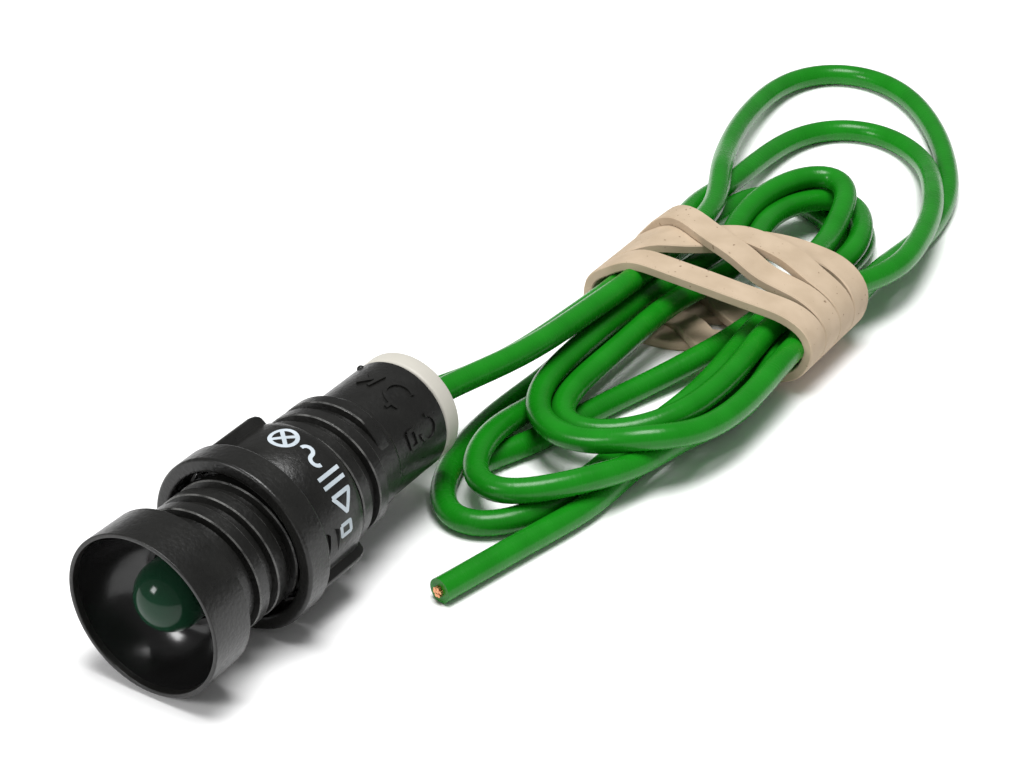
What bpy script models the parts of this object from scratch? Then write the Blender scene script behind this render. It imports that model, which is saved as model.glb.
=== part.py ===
"""Panel indicator lamp on two flying leads, modelled as the pieces it comes apart into.

Every size below is in millimetres; MM turns it into Blender's metres where a mesh is written.
The lamp lies on its side: its axis runs along +Y, the bezel faces -Y, and the origin is on the
ground under the middle of the lamp. Lamp pieces are drawn in the lamp's own frame, whose origin
is the centre of the bezel's rim and whose +Y points to the rear.
"""

import math

import bmesh
import bpy
from mathutils import Vector

MM = 0.001
SEGMENTS = 32
FINE_SEGMENTS = 16

# Driving sizes of the lamp
LAMP_LENGTH = 30.4
THREAD_R = 5.0
ROOT_R = 4.55
PITCH = 1.94
CREST_WIDTH = 0.75
FLANK_WIDTH = 0.26
RIDGE_BURIAL = 0.2
CREST_PHASE_Y = 6.26
CREST_PHASE_ANGLE = math.radians(43)
THREAD_FRONT = 5.2
THREAD_REAR = 21.9
BEZEL_RIM_R = 6.1
BEZEL_BACK_R = 6.02
BEZEL_BACK = 3.6
BEZEL_EDGE = 0.12
SEAT_INNER_R = 5.12
SEAT_GROOVE = 0.15
RIM_INNER_R = 5.75
FUNNEL_FLOOR_R = 2.95
FUNNEL_FLOOR = 4.3
FUNNEL_SQUEEZE = 1.15
BARREL_R = 4.35
BARREL_START = 22.9
RUN_OUT = 0.2
BARREL_END = 28.7
BORE_R = 3.6

# Pressure ring and nut
RING_R = 6.54
RING_BORE_R = 5.48
RING_FRONT = 9.4
RING_BACK = 11.7
RING_EDGE = 0.3
NUT_FRONT = 11.95
NUT_BACK = 17.1
NUT_R = 5.55
NUT_BORE_R = 5.15
NUT_THREAD_TIP_R = 4.74
NUT_THREAD_BASE = 1.0
NUT_THREAD_TIP = 0.55
NUT_THREAD_INSET = 0.9
NUT_RIB_R = 6.1
NUT_RIB_COUNT = 11
NUT_RIB_SPACING = math.radians(20.5)
NUT_RIB_HALF = math.radians(4.6)
NUT_PRINT_ANGLE = CREST_PHASE_ANGLE

# Light-emitting diode
LED_R = 2.5
LED_DOME_CENTRE = 3.0
LED_FLANGE_R = 2.9
LED_FLANGE_FRONT = 8.25
LED_BASE = 9.2
LED_POST_OFFSET = 1.27
LED_POST_HALF = 0.25
LED_POST_FRONT = 5.3
LED_POST_END = 11.7
LED_CUP_OFFSET = -0.55
LED_CUP_R = 0.8
LED_CUP_FRONT = 4.6
LED_CUP_BACK = 5.9
LED_CHIP_HALF = 0.15
LED_BORE_R = 2.62
LED_SEAT_R = 3.05
LED_SEAT = 8.15
BORE_FRONT = 9.35

# What sits in the barrel, on a line turned about the axis from level
PAIR_ANGLE = math.radians(28)
GAP = 0.1
POTTING_FRONT = 9.45
POTTING_BACK = 10.9
PART_OFFSET = 1.62
RESISTOR_R = 1.15
RESISTOR_FRONT = 13.7
RESISTOR_BACK = 20.0
DIODE_R = 1.3
DIODE_FRONT = 14.3
DIODE_BACK = 19.4
PART_LEAD_R = 0.3
FRONT_LEAD_START = 11.95
REAR_LEAD_END = 21.9
LEAD_SOCKET = 0.6
SWOLLEN_END = 1.1
SLEEVE_WALL = 0.25
SLEEVE_ROOM = 0.12
SLEEVE_FRONT = 13.1
SLEEVE_BACK = 20.7
FRONT_SOLDER_Y = 11.9
REAR_SOLDER_Y = 22.1
SOLDER_R = 0.82
SOLDER_HALF_LENGTH = 0.95

# Wires
WIRE_R = 0.95
CORE_R = 0.42
WIRE_OFFSET = 1.08
CORE_START = 22.2
CORE_END = 24.2
INSULATION_START = 24.3

# Rear cap
CAP_R = 4.35
CAP_FRONT = 28.8
CAP_SPIGOT_R = 3.45
CAP_SPIGOT_FRONT = 26.6
CAP_EDGE = 0.25

AXIS_Z = RING_R
RIM_Y = -LAMP_LENGTH / 2

# Routes of the loose stretches of wire, in the ground frame
LEAD_A_ROUTE = (
    (1.3, 17.8, 7.0), (1.9, 20.9, 6.8), (2.7, 24.7, 6.6), (3.2, 28.8, 6.4), (3.4, 33.9, 6.2),
    (3.7, 38.9, 6.1), (3.8, 42.0, 6.1), (3.7, 46.0, 6.1), (3.3, 50.0, 6.1),
)
LEAD_B_ROUTE = (
    (-0.5, 18.0, 5.9), (0.35, 21.0, 5.6), (1.15, 24.8, 5.35), (1.6, 29.0, 5.1), (1.85, 34.0, 4.95),
    (2.1, 39.0, 4.9), (2.2, 42.0, 4.9), (2.0, 46.0, 4.9), (1.6, 50.0, 4.9),
)
FREE_END_ROUTE = ((12.6, 12.0, 1.0), (12.0, 9.7, 1.0), (11.2, 7.0, 1.0), (10.4, 4.3, 1.0))
ROUTE_STEPS = 2

# Hank of wire: an outline through the outer loops, with a round end at each end
HANK_BOTTOM = 1.25
HANK_TOP = 3.6
HANK_NEAR_CENTRE = (8.2, 19.0)
HANK_NEAR_R = 7.6
HANK_FAR_CENTRE = (0.6, 86.5)
HANK_FAR_R = 9.1
HANK_BAND_X = (0.4, 18.7)
HANK_BAND_Y = (36.0, 60.0)
HANK_SHOULDER = (17.2, 72.0)
HANK_ARC_STEPS = 12
LAMP_CLEARANCE_R = 5.1
LAMP_CLEARANCE_END = 15.9

# Rubber band round the hank
BAND_X = (-0.9, 20.1)
BAND_TOP_INSIDE = 7.4
BAND_THICKNESS = 0.9
BAND_Y = (41.6, 53.4)
BAND_CORNER_R = 2.0
BAND_CORNER_STEPS = 6


def clear_scene():
    for obj in list(bpy.data.objects):
        bpy.data.objects.remove(obj, do_unlink=True)


def material(name, colour, roughness, metallic=0.0):
    mat = bpy.data.materials.new(name)
    mat.use_nodes = True
    shader = mat.node_tree.nodes["Principled BSDF"]
    shader.inputs["Base Color"].default_value = (*colour, 1.0)
    shader.inputs["Roughness"].default_value = roughness
    shader.inputs["Metallic"].default_value = metallic
    return mat


def frame(name, location, parent=None, turn=0.0):
    """An empty whose origin is a reference point of the lamp, in millimetres."""
    empty = bpy.data.objects.new(name, None)
    empty.location = Vector(location) * MM
    empty.rotation_euler = (0.0, turn, 0.0)
    empty.parent = parent
    bpy.context.scene.collection.objects.link(empty)
    return empty


def place(name, bm, mat, parent, smooth=True):
    """Turns a mesh drawn in millimetres into an object on its parent's origin."""
    bmesh.ops.recalc_face_normals(bm, faces=bm.faces)
    bmesh.ops.scale(bm, vec=(MM, MM, MM), verts=bm.verts)
    mesh = bpy.data.meshes.new(name)
    bm.to_mesh(mesh)
    bm.free()
    if smooth:
        mesh.shade_smooth()
        mesh.set_sharp_from_angle(angle=math.radians(35))
    mesh.materials.append(mat)
    obj = bpy.data.objects.new(name, mesh)
    obj.parent = parent
    bpy.context.scene.collection.objects.link(obj)
    return obj


def spun(profile, closed, segments=SEGMENTS, centre=(0.0, 0.0)):
    """A profile of (radius, y) points turned about the Y axis through centre (x, z)."""
    bm = bmesh.new()
    verts = [bm.verts.new((centre[0], y, centre[1] + radius)) for radius, y in profile]
    for first, second in zip(verts, verts[1:]):
        bm.edges.new((first, second))
    if closed:
        bm.edges.new((verts[-1], verts[0]))
    bmesh.ops.spin(
        bm, geom=bm.verts[:] + bm.edges[:], cent=(centre[0], 0.0, centre[1]), axis=(0, 1, 0),
        angle=math.tau, steps=segments, use_merge=True,
    )
    bmesh.ops.remove_doubles(bm, verts=bm.verts, dist=1e-5)
    return bm


def rod(radius, start, end, offset=0.0, segments=FINE_SEGMENTS):
    """A round rod along Y between two stations, at a distance out along the pair line."""
    profile = ((0.0, start), (radius, start), (radius, end), (0.0, end))
    return spun(profile, closed=False, segments=segments, centre=(offset, 0.0))


def box(low, high):
    bm = bmesh.new()
    bmesh.ops.create_cube(bm, size=1.0)
    size = Vector(high) - Vector(low)
    bmesh.ops.scale(bm, vec=size, verts=bm.verts)
    bmesh.ops.translate(bm, vec=Vector(low) + size / 2, verts=bm.verts)
    return bm


def combine(target, tool, operation):
    """Adds or cuts with a tool object, which stays in the file as a wire guide."""
    modifier = target.modifiers.new(tool.name, "BOOLEAN")
    modifier.operation = operation
    modifier.object = tool
    tool.hide_render = True
    tool.display_type = "WIRE"


def helix_ridge(base_r, tip_r, base_width, tip_width, start, end, phase):
    """A ridge wound on a right-hand helix of one pitch per turn, its ends faded into the base."""
    step = math.tau / SEGMENTS
    turns_to_start = (start - CREST_PHASE_Y - phase) / PITCH
    first = math.ceil((CREST_PHASE_ANGLE + turns_to_start * math.tau) / step)
    turns_to_end = (end - CREST_PHASE_Y - phase) / PITCH
    last = math.floor((CREST_PHASE_ANGLE + turns_to_end * math.tau) / step)
    bm = bmesh.new()
    rings = []
    for index in range(first, last + 1):
        angle = index * step
        y = CREST_PHASE_Y + phase + PITCH * (angle - CREST_PHASE_ANGLE) / math.tau
        fade = min(1.0, (index - first + 0.4) / 3, (last - index + 0.4) / 3)
        tip = base_r + (tip_r - base_r) * fade
        section = (
            (base_r, -base_width / 2), (tip, -tip_width / 2), (tip, tip_width / 2), (base_r, base_width / 2),
        )
        rings.append([
            bm.verts.new((radius * math.sin(angle), y + dy, radius * math.cos(angle)))
            for radius, dy in section
        ])
    for ring, following in zip(rings, rings[1:]):
        for corner in range(4):
            other = (corner + 1) % 4
            bm.faces.new((ring[corner], ring[other], following[other], following[corner]))
    bm.faces.new(rings[0])
    bm.faces.new(rings[-1])
    return bm


def funnel_profile(steps=8):
    """A quarter of a slightly squeezed ellipse, from the LED's collar out to the rim."""
    width = RIM_INNER_R - FUNNEL_FLOOR_R
    depth = FUNNEL_FLOOR - BEZEL_EDGE
    points = []
    for step in range(steps + 1):
        angle = math.pi / 2 * step / steps
        points.append((
            FUNNEL_FLOOR_R + width * math.sin(angle) ** FUNNEL_SQUEEZE,
            BEZEL_EDGE + depth * math.cos(angle) ** FUNNEL_SQUEEZE,
        ))
    return points


def body_shell(axis, plastic):
    profile = funnel_profile() + [
        (RIM_INNER_R + BEZEL_EDGE, 0.0), (BEZEL_RIM_R - BEZEL_EDGE, 0.0), (BEZEL_RIM_R, BEZEL_EDGE),
        (BEZEL_BACK_R, BEZEL_BACK - BEZEL_EDGE), (BEZEL_BACK_R - BEZEL_EDGE, BEZEL_BACK),
        (SEAT_INNER_R, BEZEL_BACK), (SEAT_INNER_R, BEZEL_BACK - SEAT_GROOVE),
        (ROOT_R, BEZEL_BACK - SEAT_GROOVE), (ROOT_R, BARREL_START - RUN_OUT), (BARREL_R, BARREL_START),
        (BARREL_R, BARREL_END), (BORE_R, BARREL_END), (BORE_R, BORE_FRONT), (LED_SEAT_R, BORE_FRONT),
        (LED_SEAT_R, LED_SEAT), (LED_BORE_R, LED_SEAT), (LED_BORE_R, FUNNEL_FLOOR),
    ]
    shell = place("body_shell", spun(profile, closed=True), plastic, axis)
    buried_r = ROOT_R - RIDGE_BURIAL
    base_width = CREST_WIDTH + 2 * FLANK_WIDTH * (THREAD_R - buried_r) / (THREAD_R - ROOT_R)
    ridge = helix_ridge(buried_r, THREAD_R, base_width, CREST_WIDTH, THREAD_FRONT, THREAD_REAR, 0.0)
    combine(shell, place("thread_ridge", ridge, plastic, axis), "UNION")
    return shell


def pressure_ring(axis, plastic):
    profile = (
        (RING_BORE_R, RING_FRONT), (RING_R - RING_EDGE, RING_FRONT), (RING_R, RING_FRONT + RING_EDGE),
        (RING_R, RING_BACK - RING_EDGE), (RING_R - RING_EDGE, RING_BACK), (RING_BORE_R, RING_BACK),
    )
    return place("pressure_ring", spun(profile, closed=True, segments=48), plastic, axis)


def nut_outline():
    """Plan of the nut seen along its axis: a smooth printed side, and grip ribs round the rest."""
    rib_middles = [
        NUT_PRINT_ANGLE + math.pi + NUT_RIB_SPACING * (rib - (NUT_RIB_COUNT - 1) / 2)
        for rib in range(NUT_RIB_COUNT)
    ]
    smooth_start = rib_middles[-1] + NUT_RIB_HALF - math.tau
    smooth_end = rib_middles[0] - NUT_RIB_HALF
    points = []
    smooth_steps = 16
    for step in range(1, smooth_steps):
        points.append((NUT_R, smooth_start + (smooth_end - smooth_start) * step / smooth_steps))
    for middle in rib_middles:
        points += [
            (NUT_R, middle - NUT_RIB_HALF), (NUT_RIB_R, middle - NUT_RIB_HALF * 0.75),
            (NUT_RIB_R, middle + NUT_RIB_HALF * 0.75), (NUT_R, middle + NUT_RIB_HALF),
        ]
    return points


def panel_nut(axis, plastic):
    bm = bmesh.new()
    ring = [
        bm.verts.new((radius * math.sin(angle), NUT_FRONT, radius * math.cos(angle)))
        for radius, angle in nut_outline()
    ]
    face = bm.faces.new(ring)
    grown = bmesh.ops.extrude_face_region(bm, geom=[face])
    moved = [part for part in grown["geom"] if isinstance(part, bmesh.types.BMVert)]
    bmesh.ops.translate(bm, vec=(0.0, NUT_BACK - NUT_FRONT, 0.0), verts=moved)
    nut = place("panel_nut", bm, plastic, axis)
    bore = rod(NUT_BORE_R, NUT_FRONT - 1.0, NUT_BACK + 1.0, segments=SEGMENTS)
    combine(nut, place("nut_bore", bore, plastic, axis), "DIFFERENCE")
    ridge = helix_ridge(
        NUT_BORE_R + RIDGE_BURIAL, NUT_THREAD_TIP_R, NUT_THREAD_BASE, NUT_THREAD_TIP,
        NUT_FRONT + NUT_THREAD_INSET, NUT_BACK - NUT_THREAD_INSET, PITCH / 2,
    )
    combine(nut, place("nut_ridge", ridge, plastic, axis), "UNION")
    return nut


def led(pair, epoxy, metal, chip_material):
    dome_steps = 8
    profile = [
        (LED_R * math.sin(math.pi / 2 * step / dome_steps),
         LED_DOME_CENTRE - LED_R * math.cos(math.pi / 2 * step / dome_steps))
        for step in range(dome_steps + 1)
    ]
    profile += [
        (LED_R, LED_FLANGE_FRONT), (LED_FLANGE_R, LED_FLANGE_FRONT), (LED_FLANGE_R, LED_BASE), (0.0, LED_BASE),
    ]
    lens = place("led_lens", spun(profile, closed=False), epoxy, pair)
    half = LED_POST_HALF
    anode = box((LED_POST_OFFSET - half, LED_POST_FRONT, -half), (LED_POST_OFFSET + half, LED_POST_END, half))
    place("led_anode_post", anode, metal, pair, smooth=False)
    cathode = box((-LED_POST_OFFSET - half, LED_POST_FRONT, -half), (half - LED_POST_OFFSET, LED_POST_END, half))
    cathode_post = place("led_cathode_cup", cathode, metal, pair, smooth=False)
    cup_profile = (
        (0.0, LED_CUP_FRONT + 0.35), (0.35, LED_CUP_FRONT + 0.35), (0.65, LED_CUP_FRONT),
        (LED_CUP_R, LED_CUP_FRONT), (LED_CUP_R, LED_CUP_BACK), (0.0, LED_CUP_BACK),
    )
    cup = spun(cup_profile, closed=False, segments=FINE_SEGMENTS, centre=(LED_CUP_OFFSET, 0.0))
    combine(cathode_post, place("cup_form", cup, metal, pair), "UNION")
    small = LED_CHIP_HALF
    chip = box(
        (LED_CUP_OFFSET - small, LED_CUP_FRONT + 0.1, -small),
        (LED_CUP_OFFSET + small, LED_CUP_FRONT + 0.25, small),
    )
    place("led_chip", chip, chip_material, pair, smooth=False)
    room = 1.5 * GAP
    hollow_profile = (
        (0.0, LED_CUP_FRONT - room), (LED_CUP_R + room, LED_CUP_FRONT - room),
        (LED_CUP_R + room, LED_CUP_BACK + room), (0.0, LED_CUP_BACK + room),
    )
    hollow = spun(hollow_profile, closed=False, segments=FINE_SEGMENTS, centre=(LED_CUP_OFFSET, 0.0))
    combine(lens, place("cup_hollow", hollow, epoxy, pair), "DIFFERENCE")
    wide = half + GAP
    for side, name in ((1, "anode_slot"), (-1, "cathode_slot")):
        middle = side * LED_POST_OFFSET
        slot = box((middle - wide, LED_POST_FRONT - GAP, -wide), (middle + wide, LED_BASE + 1.0, wide))
        combine(lens, place(name, slot, epoxy, pair, smooth=False), "DIFFERENCE")


def led_potting(pair, resin):
    plug = place("led_potting", rod(BORE_R - GAP, POTTING_FRONT, POTTING_BACK, segments=SEGMENTS), resin, pair)
    wide = LED_POST_HALF + GAP
    for side, name in ((1, "potting_slot_a"), (-1, "potting_slot_b")):
        middle = side * LED_POST_OFFSET
        slot = box((middle - wide, POTTING_FRONT - 0.5, -wide), (middle + wide, POTTING_BACK + 0.5, wide))
        combine(plug, place(name, slot, resin, pair, smooth=False), "DIFFERENCE")


def axial_body(radius, front, back, offset):
    """A small two-lead component: a round body, swollen at its ends, with a lead socket in each end."""
    socket = PART_LEAD_R + GAP
    shoulder = 0.8 * radius
    waist = 0.9 * radius
    half = (
        (0.0, LEAD_SOCKET), (socket, LEAD_SOCKET), (socket, 0.0), (shoulder, 0.0), (radius, 0.3),
        (radius, SWOLLEN_END), (waist, SWOLLEN_END + 0.4),
    )
    profile = [(r, front + y) for r, y in half] + [(r, back - y) for r, y in reversed(half)]
    return spun(profile, closed=False, segments=20, centre=(offset, 0.0))


def solder(name, tin, pair, y, holes):
    """A bead of solder with a hole for each conductor in it: (offset, half width, from, to)."""
    middle = sum(hole[0] for hole in holes) / len(holes)
    steps = 6
    profile = [
        (SOLDER_R * math.sin(math.pi * step / steps), y - SOLDER_HALF_LENGTH * math.cos(math.pi * step / steps))
        for step in range(steps + 1)
    ]
    profile[0] = (0.0, profile[0][1])
    profile[-1] = (0.0, profile[-1][1])
    bead = spun(profile, closed=False, segments=FINE_SEGMENTS, centre=(middle, 0.0))
    bead_object = place(name, bead, tin, pair)
    for number, (offset, half, start, end) in enumerate(holes):
        hole = rod(half, start, end, offset, segments=12)
        combine(bead_object, place(f"{name}_hole_{number}", hole, tin, pair), "DIFFERENCE")


def component_chain(pair, side, names, radius, front, back, mats):
    """One side of the circuit: component, its two leads, its sleeve and the solder at both ends."""
    body_mat, lead_mat, sleeve_mat, tin_mat, core_mat = mats
    offset = side * PART_OFFSET
    place(names["body"], axial_body(radius, front, back, offset), body_mat, pair)
    front_lead = rod(PART_LEAD_R, FRONT_LEAD_START, front + LEAD_SOCKET - GAP, offset, segments=12)
    place(names["front_lead"], front_lead, lead_mat, pair)
    rear_lead = rod(PART_LEAD_R, back - LEAD_SOCKET + GAP, REAR_LEAD_END, offset, segments=12)
    place(names["rear_lead"], rear_lead, lead_mat, pair)
    inner = radius + SLEEVE_ROOM
    outer = inner + SLEEVE_WALL
    sleeve_profile = ((inner, SLEEVE_FRONT), (outer, SLEEVE_FRONT), (outer, SLEEVE_BACK), (inner, SLEEVE_BACK))
    sleeve = spun(sleeve_profile, closed=True, segments=24, centre=(offset, 0.0))
    place(names["sleeve"], sleeve, sleeve_mat, pair)
    lead_hole = PART_LEAD_R + GAP
    post_hole = LED_POST_HALF * math.sqrt(2) + GAP
    solder(names["front_solder"], tin_mat, pair, FRONT_SOLDER_Y, (
        (side * LED_POST_OFFSET, post_hole, FRONT_SOLDER_Y - 2.0, LED_POST_END + GAP),
        (offset, lead_hole, FRONT_LEAD_START - GAP, FRONT_SOLDER_Y + 2.0),
    ))
    solder(names["rear_solder"], tin_mat, pair, REAR_SOLDER_Y, (
        (offset, lead_hole, REAR_SOLDER_Y - 2.0, REAR_LEAD_END + GAP),
        (side * WIRE_OFFSET, CORE_R + GAP, CORE_START - GAP, REAR_SOLDER_Y + 2.0),
    ))
    core = rod(CORE_R, CORE_START, CORE_END, side * WIRE_OFFSET, segments=12)
    place(names["core"], core, core_mat, pair)


def rear_cap(pair, white):
    profile = (
        (0.0, CAP_SPIGOT_FRONT), (CAP_SPIGOT_R, CAP_SPIGOT_FRONT), (CAP_SPIGOT_R, CAP_FRONT),
        (CAP_R, CAP_FRONT), (CAP_R, LAMP_LENGTH - CAP_EDGE), (CAP_R - CAP_EDGE, LAMP_LENGTH), (0.0, LAMP_LENGTH),
    )
    cap = place("rear_cap", spun(profile, closed=False), white, pair)
    for side, name in ((1, "cap_hole_a"), (-1, "cap_hole_b")):
        hole = rod(WIRE_R + GAP, CAP_SPIGOT_FRONT - 1.0, LAMP_LENGTH + 1.0, side * WIRE_OFFSET)
        combine(cap, place(name, hole, white, pair), "DIFFERENCE")


def smooth_route(route):
    """Points of a Catmull-Rom curve through the route."""
    points = [Vector(point) for point in route]
    padded = [2 * points[0] - points[1], *points, 2 * points[-1] - points[-2]]
    smooth = []
    for before, start, end, after in zip(padded, padded[1:], padded[2:], padded[3:]):
        for step in range(ROUTE_STEPS):
            t = step / ROUTE_STEPS
            smooth.append(0.5 * (
                2 * start + (end - before) * t + (2 * before - 5 * start + 4 * end - after) * t * t
                + (3 * start - before - 3 * end + after) * t ** 3
            ))
    smooth.append(points[-1])
    return smooth


def wire(name, route, mat):
    curve = bpy.data.curves.new(name, "CURVE")
    curve.dimensions = "3D"
    curve.bevel_depth = WIRE_R * MM
    curve.bevel_resolution = 2
    curve.use_fill_caps = True
    points = smooth_route(route)
    spline = curve.splines.new("POLY")
    spline.points.add(len(points) - 1)
    for target, point in zip(spline.points, points):
        target.co = (*(point * MM), 1.0)
    curve.materials.append(mat)
    obj = bpy.data.objects.new(name, curve)
    bpy.context.scene.collection.objects.link(obj)
    return obj


def inside_start(side):
    """Where a lead's insulation starts inside the barrel, and where it leaves the cap, on the ground frame."""
    x = side * WIRE_OFFSET * math.cos(PAIR_ANGLE)
    z = AXIS_Z + side * WIRE_OFFSET * math.sin(PAIR_ANGLE)
    stations = (INSULATION_START, (INSULATION_START + LAMP_LENGTH) / 2, LAMP_LENGTH)
    return tuple((x, RIM_Y + station, z) for station in stations)


def arc(centre, radius, start, end, steps=HANK_ARC_STEPS):
    return [
        (centre[0] + radius * math.cos(angle), centre[1] + radius * math.sin(angle))
        for angle in (start + (end - start) * step / steps for step in range(steps + 1))
    ]


def wire_hank(green):
    """The outer shape of the folded wire, cut clear of the lamp's rear end."""
    outline = arc(HANK_NEAR_CENTRE, HANK_NEAR_R, math.radians(175), math.radians(350))
    outline += [(HANK_BAND_X[1], HANK_BAND_Y[0]), (HANK_BAND_X[1], HANK_BAND_Y[1]), HANK_SHOULDER]
    outline += arc(HANK_FAR_CENTRE, HANK_FAR_R, math.radians(35), math.radians(195))
    outline += [(HANK_BAND_X[0], HANK_BAND_Y[1]), (HANK_BAND_X[0], HANK_BAND_Y[0])]
    bm = bmesh.new()
    face = bm.faces.new([bm.verts.new((x, y, HANK_BOTTOM)) for x, y in outline])
    grown = bmesh.ops.extrude_face_region(bm, geom=[face])
    moved = [part for part in grown["geom"] if isinstance(part, bmesh.types.BMVert)]
    bmesh.ops.translate(bm, vec=(0.0, 0.0, HANK_TOP - HANK_BOTTOM), verts=moved)
    hank = place("wire_hank", bm, green, None, smooth=False)
    room = rod(LAMP_CLEARANCE_R, 0.0, LAMP_CLEARANCE_END - RIM_Y)
    cutter = place("lamp_room", room, green, None)
    cutter.location = (0.0, RIM_Y * MM, AXIS_Z * MM)
    combine(hank, cutter, "DIFFERENCE")


def rubber_band(rubber):
    """A strip bent round the hank into a flat loop, given its thickness by Solidify."""
    low_x, high_x = (BAND_X[0] + BAND_CORNER_R, BAND_X[1] - BAND_CORNER_R)
    low_z, high_z = (BAND_THICKNESS + BAND_CORNER_R, BAND_TOP_INSIDE - BAND_CORNER_R)
    loop = []
    for (x, z), quarter in (((high_x, high_z), 0), ((low_x, high_z), 1), ((low_x, low_z), 2), ((high_x, low_z), 3)):
        start = quarter * math.pi / 2
        loop += arc((x, z), BAND_CORNER_R, start, start + math.pi / 2, BAND_CORNER_STEPS)
    bm = bmesh.new()
    near = [bm.verts.new((x, BAND_Y[0], z)) for x, z in loop]
    far = [bm.verts.new((x, BAND_Y[1], z)) for x, z in loop]
    for index, vert in enumerate(near):
        following = (index + 1) % len(near)
        bm.faces.new((vert, near[following], far[following], far[index]))
    band = place("rubber_band", bm, rubber, None)
    thicken = band.modifiers.new("thickness", "SOLIDIFY")
    thicken.thickness = BAND_THICKNESS * MM
    thicken.offset = 1.0
    return band


def copper_end(copper):
    """The cut strands that stand just proud of the free end of lead A."""
    end = Vector(FREE_END_ROUTE[-1])
    direction = (end - Vector(FREE_END_ROUTE[-2])).normalized()
    strands = place("copper_end", rod(CORE_R, GAP, 0.5, segments=12), copper, None)
    strands.location = end * MM
    strands.rotation_euler = Vector((0.0, 1.0, 0.0)).rotation_difference(direction).to_euler()


def build():
    clear_scene()
    plastic = material("black_plastic", (0.018, 0.018, 0.017), 0.45)
    white = material("white_plastic", (0.72, 0.70, 0.64), 0.55)
    epoxy = material("green_epoxy", (0.01, 0.06, 0.02), 0.08)
    tinned = material("tinned_steel", (0.62, 0.62, 0.60), 0.3, 1.0)
    chip_mat = material("chip", (0.55, 0.50, 0.10), 0.4)
    resin = material("potting_resin", (0.03, 0.03, 0.03), 0.3)
    resistor_mat = material("resistor_coat", (0.30, 0.45, 0.55), 0.4)
    diode_mat = material("diode_moulding", (0.02, 0.02, 0.02), 0.4)
    sleeve_mat = material("shrink_sleeve", (0.6, 0.6, 0.55), 0.5)
    tin = material("solder_tin", (0.7, 0.7, 0.68), 0.35, 1.0)
    copper = material("copper", (0.72, 0.32, 0.16), 0.35, 1.0)
    green = material("green_pvc", (0.012, 0.27, 0.018), 0.4)
    rubber = material("cream_rubber", (0.68, 0.52, 0.36), 0.7)

    axis = frame("lamp_axis", (0.0, RIM_Y, AXIS_Z))
    pair = frame("pair_line", (0.0, 0.0, 0.0), parent=axis, turn=-PAIR_ANGLE)

    body_shell(axis, plastic)
    pressure_ring(axis, plastic)
    panel_nut(axis, plastic)
    led(pair, epoxy, tinned, chip_mat)
    led_potting(pair, resin)
    resistor_names = {
        "body": "series_resistor", "front_lead": "resistor_front_lead", "rear_lead": "resistor_rear_lead",
        "sleeve": "resistor_sleeve", "front_solder": "solder_anode", "rear_solder": "solder_lead_a",
        "core": "lead_a_core",
    }
    diode_names = {
        "body": "rectifier_diode", "front_lead": "diode_front_lead", "rear_lead": "diode_rear_lead",
        "sleeve": "diode_sleeve", "front_solder": "solder_cathode", "rear_solder": "solder_lead_b",
        "core": "lead_b_core",
    }
    component_chain(
        pair, 1, resistor_names, RESISTOR_R, RESISTOR_FRONT, RESISTOR_BACK,
        (resistor_mat, tinned, sleeve_mat, tin, copper),
    )
    component_chain(
        pair, -1, diode_names, DIODE_R, DIODE_FRONT, DIODE_BACK,
        (diode_mat, tinned, sleeve_mat, tin, copper),
    )
    rear_cap(pair, white)

    wire("lead_a", inside_start(1) + LEAD_A_ROUTE, green)
    wire("lead_b", inside_start(-1) + LEAD_B_ROUTE, green)
    wire("free_end_a", FREE_END_ROUTE, green)
    copper_end(copper)
    wire_hank(green)
    rubber_band(rubber)


build()
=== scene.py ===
# %% [markdown]
# # A panel indicator lamp on two flying leads
#
# This lesson dresses a small electrical part: a black lamp body with a funnel-shaped bezel and a
# green light-emitting diode, a ring and a nut on its coarse thread, a white rear cap, and two green
# wires folded into a hank under a rubber band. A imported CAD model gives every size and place. Blender
# is used here only for looks: finer shapes, real wires, and materials made from nodes.

# %% Load the frame
import math

import bpy
import numpy as np
from mathutils import Matrix, Vector


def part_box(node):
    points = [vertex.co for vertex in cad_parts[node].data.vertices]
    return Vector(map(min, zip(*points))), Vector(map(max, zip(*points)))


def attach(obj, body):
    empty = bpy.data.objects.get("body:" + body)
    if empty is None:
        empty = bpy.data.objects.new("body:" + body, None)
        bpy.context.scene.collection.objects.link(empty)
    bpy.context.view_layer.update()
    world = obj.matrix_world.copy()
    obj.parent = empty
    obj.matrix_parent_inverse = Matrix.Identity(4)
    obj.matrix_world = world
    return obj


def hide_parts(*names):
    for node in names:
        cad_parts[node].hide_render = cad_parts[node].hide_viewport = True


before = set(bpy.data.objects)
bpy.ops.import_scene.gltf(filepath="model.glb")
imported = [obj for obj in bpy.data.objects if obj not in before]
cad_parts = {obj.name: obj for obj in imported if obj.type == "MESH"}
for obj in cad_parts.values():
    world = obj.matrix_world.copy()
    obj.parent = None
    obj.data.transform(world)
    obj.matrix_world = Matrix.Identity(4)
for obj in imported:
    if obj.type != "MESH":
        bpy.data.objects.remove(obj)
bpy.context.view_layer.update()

# %% [markdown]
# ## Where the lamp lies
#
# The lamp lies on its side. Its axis runs along +Y, from the bezel's rim to the cap. Distances along
# the axis are easier to read as stations, counted in millimetres from the rim, so two small helpers
# turn a station, a radius and an angle into a place. The angle is counted from straight up (+Z)
# towards +X.

# %% Lamp axis and stations
MM = 0.001
ring_low, ring_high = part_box("pressure_ring")
shell_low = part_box("body_shell")[0]
cap_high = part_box("rear_cap")[1]
AXIS_Z = (ring_low.z + ring_high.z) / 2 / MM
RIM_Y = shell_low.y / MM
MARKED_ANGLE = math.radians(43)


def station_of(y):
    return y / MM - RIM_Y


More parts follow.
